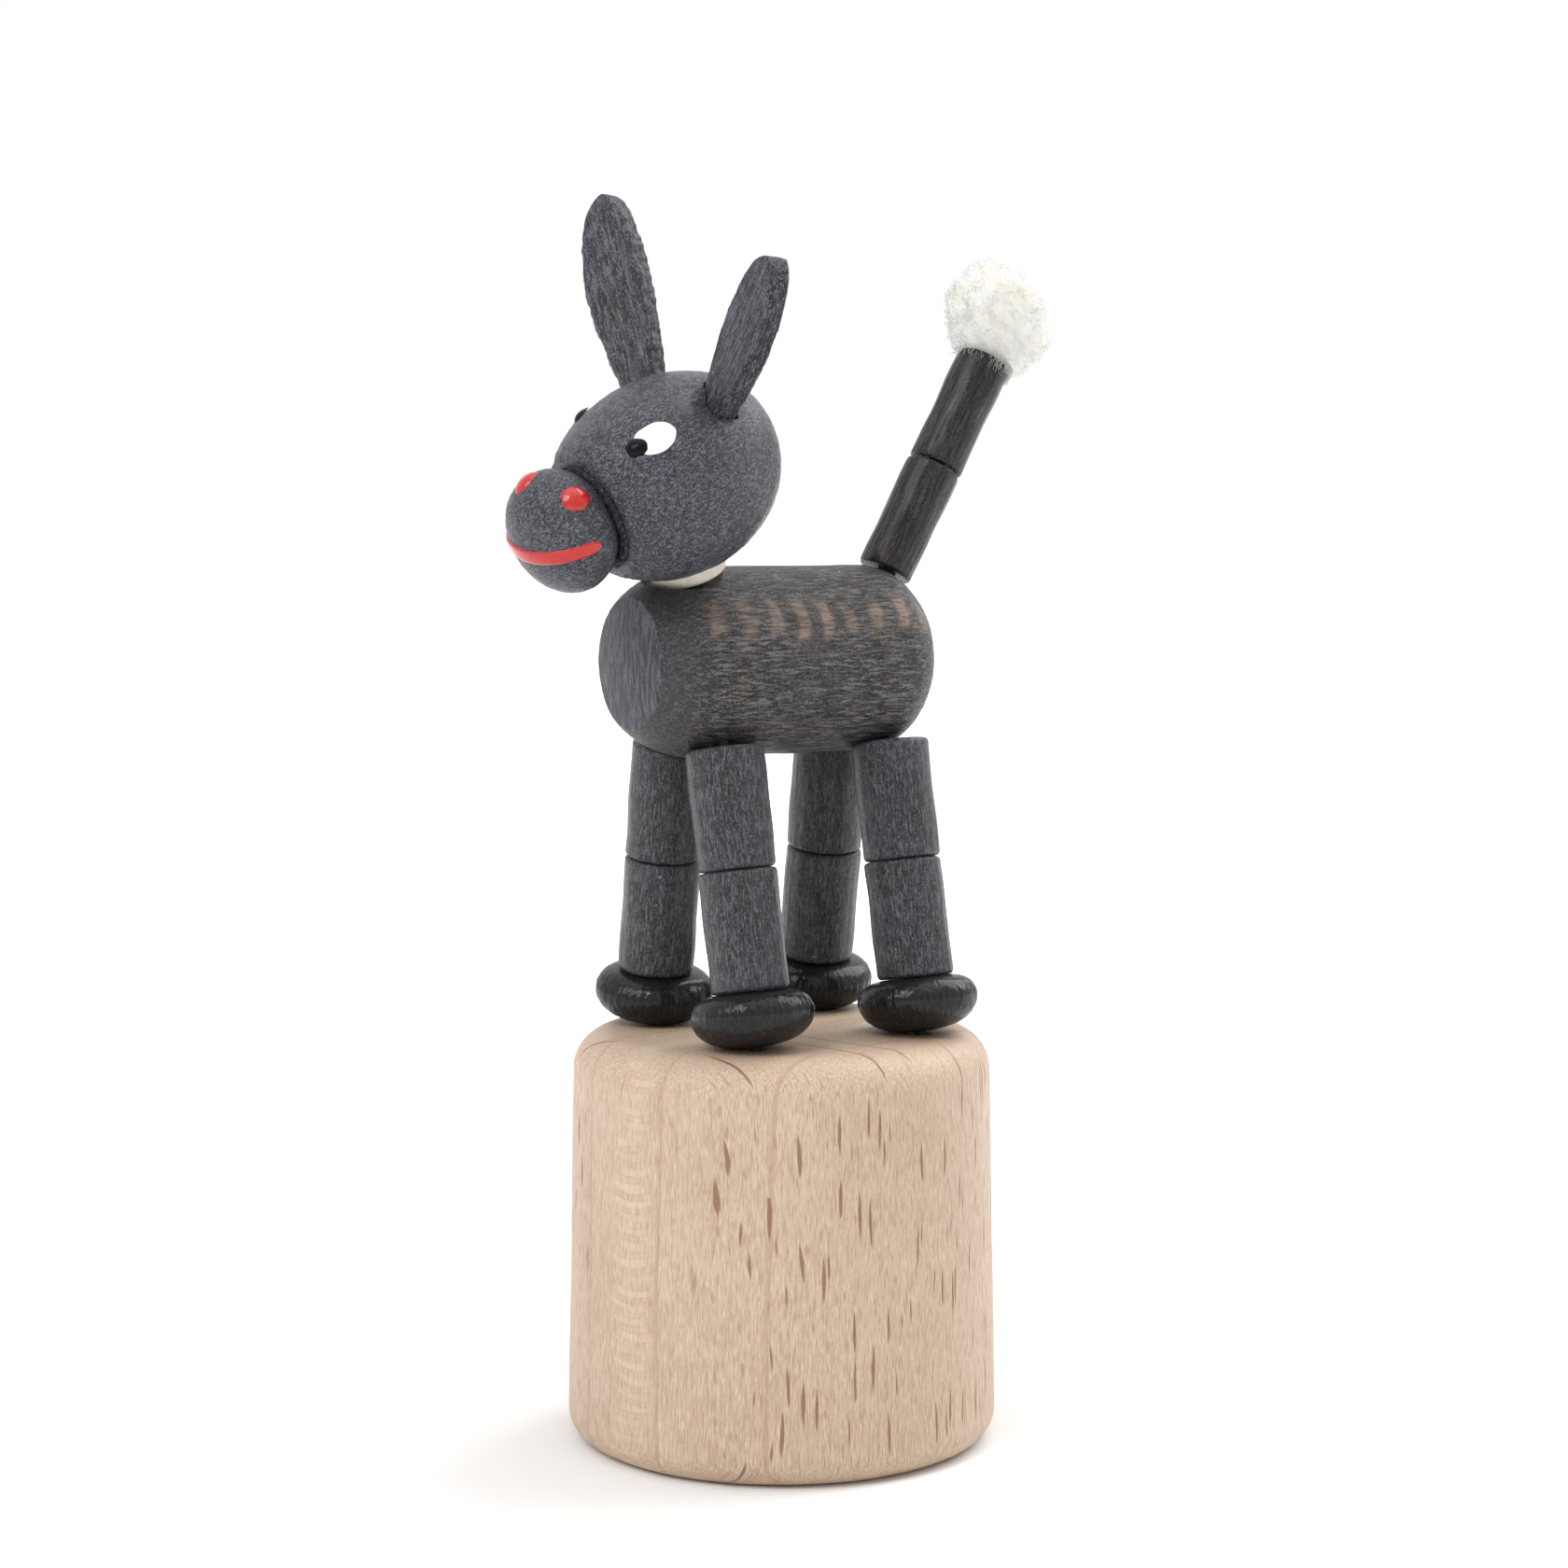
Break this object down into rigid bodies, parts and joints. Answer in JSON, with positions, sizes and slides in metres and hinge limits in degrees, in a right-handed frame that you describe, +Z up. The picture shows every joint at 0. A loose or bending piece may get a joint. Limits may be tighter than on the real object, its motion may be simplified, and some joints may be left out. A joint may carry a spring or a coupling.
{
  "type": "thumb push puppet",
  "caption": "Wooden thumb push puppet: a donkey of turned beads strung on cords over a drum base, whose sprung button slackens the cords so the animal slumps.",
  "frame": {"origin": "centre of the drum foot, on the surface it stands on", "axes": "+Z up along the drum axis, the animal faces -Y, its left side is +X"},
  "size_m": [0.033, 0.0483, 0.0945],
  "materials": {
    "beech": "natural, lightly waxed",
    "charcoal_wood": "charcoal stain, matt with open grain",
    "hoof_wood": "dark stain, slight sheen",
    "cream_wood": "pale, smooth",
    "pompom_yarn": "fluffy yarn",
    "cord": "black cord",
    "spring_steel": "plain wire"
  },
  "bodies": {
    "base": {"base_drum": "beech", "return_spring": "spring_steel", "cord_front_left": "cord", "cord_front_right": "cord", "cord_rear_left": "cord", "cord_rear_right": "cord"},
    "button": {"push_button": "beech"},
    "hoof_front_left": {"hoof_front_left": "hoof_wood"},
    "lower_leg_front_left": {"lower_leg_front_left": "charcoal_wood"},
    "upper_leg_front_left": {"upper_leg_front_left": "charcoal_wood"},
    "hoof_front_right": {"hoof_front_right": "hoof_wood"},
    "lower_leg_front_right": {"lower_leg_front_right": "charcoal_wood"},
    "upper_leg_front_right": {"upper_leg_front_right": "charcoal_wood"},
    "hoof_rear_left": {"hoof_rear_left": "hoof_wood"},
    "lower_leg_rear_left": {"lower_leg_rear_left": "charcoal_wood"},
    "upper_leg_rear_left": {"upper_leg_rear_left": "charcoal_wood"},
    "hoof_rear_right": {"hoof_rear_right": "hoof_wood"},
    "lower_leg_rear_right": {"lower_leg_rear_right": "charcoal_wood"},
    "upper_leg_rear_right": {"upper_leg_rear_right": "charcoal_wood"},
    "torso": {"torso": "charcoal_wood"},
    "neck_ring": {"neck_ring": "cream_wood"},
    "head": {"head": "charcoal_wood", "muzzle": "charcoal_wood", "ear_left": "charcoal_wood", "ear_right": "charcoal_wood"},
    "tail_lower": {"tail_lower": "charcoal_wood"},
    "tail_upper": {"tail_upper": "charcoal_wood", "pompom": "pompom_yarn"}
  },
  "joints": [
    {"name": "button_press", "type": "slide", "parent": "base", "child": "button", "axis": [0, 0, 1], "range_m": [0, 0.0055], "stiffness_N_per_m": 350, "springref_m": -0.008, "deforming": ["return_spring", "cord_front_left", "cord_front_right", "cord_rear_left", "cord_rear_right"]},
    {"name": "hoof_rock_rear_left", "type": "hinge", "parent": "base", "child": "hoof_rear_left", "pos_m": [0.0079, 0.0063, 0.03189], "axis": [1, 0, 0], "range_deg": [0, 9]},
    {"name": "ankle_rear_left", "type": "hinge", "parent": "hoof_rear_left", "child": "lower_leg_rear_left", "pos_m": [0.00714, 0.00493, 0.03625], "axis": [1, 0, 0], "range_deg": [0, 29.1]},
    {"name": "knee_rear_left", "type": "hinge", "parent": "lower_leg_rear_left", "child": "upper_leg_rear_left", "pos_m": [0.00559, 0.00474, 0.04501], "axis": [1, 0, 0], "range_deg": [0, 13.4]},
    {"name": "hip_rear_left", "type": "hinge", "parent": "upper_leg_rear_left", "child": "torso", "pos_m": [0.00423, 0.00973, 0.05275], "axis": [1, 0, 0], "range_deg": [-51.5, 0]},
    {"name": "hip_front_left", "type": "hinge", "parent": "torso", "child": "upper_leg_front_left", "pos_m": [0.00423, -0.00484, 0.05275], "axis": [1, 0, 0], "range_deg": [0, 51.5]},
    {"name": "knee_front_left", "type": "hinge", "parent": "upper_leg_front_left", "child": "lower_leg_front_left", "pos_m": [0.00559, -0.00983, 0.04501], "axis": [1, 0, 0], "range_deg": [-13.4, 0]},
    {"name": "ankle_front_left", "type": "hinge", "parent": "lower_leg_front_left", "child": "hoof_front_left", "pos_m": [0.00714, -0.00964, 0.03625], "axis": [1, 0, 0], "range_deg": [-29.1, 0]},
    {"name": "hip_front_right", "type": "hinge", "parent": "torso", "child": "upper_leg_front_right", "pos_m": [-0.00423, -0.00484, 0.05275], "axis": [1, 0, 0], "range_deg": [0, 51.5]},
    {"name": "knee_front_right", "type": "hinge", "parent": "upper_leg_front_right", "child": "lower_leg_front_right", "pos_m": [-0.00559, -0.00983, 0.04501], "axis": [1, 0, 0], "range_deg": [-13.4, 0]},
    {"name": "ankle_front_right", "type": "hinge", "parent": "lower_leg_front_right", "child": "hoof_front_right", "pos_m": [-0.00714, -0.00964, 0.03625], "axis": [1, 0, 0], "range_deg": [-29.1, 0]},
    {"name": "hip_rear_right", "type": "hinge", "parent": "torso", "child": "upper_leg_rear_right", "pos_m": [-0.00423, 0.00973, 0.05275], "axis": [1, 0, 0], "range_deg": [0, 51.5]},
    {"name": "knee_rear_right", "type": "hinge", "parent": "upper_leg_rear_right", "child": "lower_leg_rear_right", "pos_m": [-0.00559, 0.00474, 0.04501], "axis": [1, 0, 0], "range_deg": [-13.4, 0]},
    {"name": "ankle_rear_right", "type": "hinge", "parent": "lower_leg_rear_right", "child": "hoof_rear_right", "pos_m": [-0.00714, 0.00493, 0.03625], "axis": [1, 0, 0], "range_deg": [-29.1, 0]},
    {"name": "neck_loll", "type": "hinge", "parent": "torso", "child": "neck_ring", "pos_m": [0.00335, -0.00826, 0.06621], "axis": [-0.0711, 0.9125, 0.4028], "range_deg": [0, 13.4]},
    {"name": "head_turn", "type": "hinge", "parent": "neck_ring", "child": "head", "pos_m": [0.00075, -0.0085, 0.0663], "axis": [0.1825, -0.3851, 0.9047], "range_deg": [-35, 25]},
    {"name": "tail_root", "type": "hinge", "parent": "torso", "child": "tail_lower", "pos_m": [0, 0.01114, 0.06597], "axis": [1, 0, 0], "range_deg": [-39.2, 0]},
    {"name": "tail_tip", "type": "hinge", "parent": "tail_lower", "child": "tail_upper", "pos_m": [0, 0.01567, 0.07398], "axis": [1, 0, 0], "range_deg": [-28, 0]}
  ],
  "couplings": [
    {"joint": "hoof_rock_rear_left", "follows": "button_press", "rad_per_m": 25.386},
    {"joint": "ankle_rear_left", "follows": "button_press", "rad_per_m": 82.506},
    {"joint": "knee_rear_left", "follows": "button_press", "rad_per_m": 38.079},
    {"joint": "hip_rear_left", "follows": "button_press", "rad_per_m": -145.97},
    {"joint": "hip_front_left", "follows": "button_press", "rad_per_m": 145.97},
    {"joint": "knee_front_left", "follows": "button_press", "rad_per_m": -38.079},
    {"joint": "ankle_front_left", "follows": "button_press", "rad_per_m": -82.506},
    {"joint": "hip_front_right", "follows": "button_press", "rad_per_m": 145.97},
    {"joint": "knee_front_right", "follows": "button_press", "rad_per_m": -38.079},
    {"joint": "ankle_front_right", "follows": "button_press", "rad_per_m": -82.506},
    {"joint": "hip_rear_right", "follows": "button_press", "rad_per_m": 145.97},
    {"joint": "knee_rear_right", "follows": "button_press", "rad_per_m": -38.079},
    {"joint": "ankle_rear_right", "follows": "button_press", "rad_per_m": -82.506},
    {"joint": "neck_loll", "follows": "button_press", "rad_per_m": 38.079},
    {"joint": "tail_root", "follows": "button_press", "rad_per_m": -111.07},
    {"joint": "tail_tip", "follows": "button_press", "rad_per_m": -79.333}
  ]
}
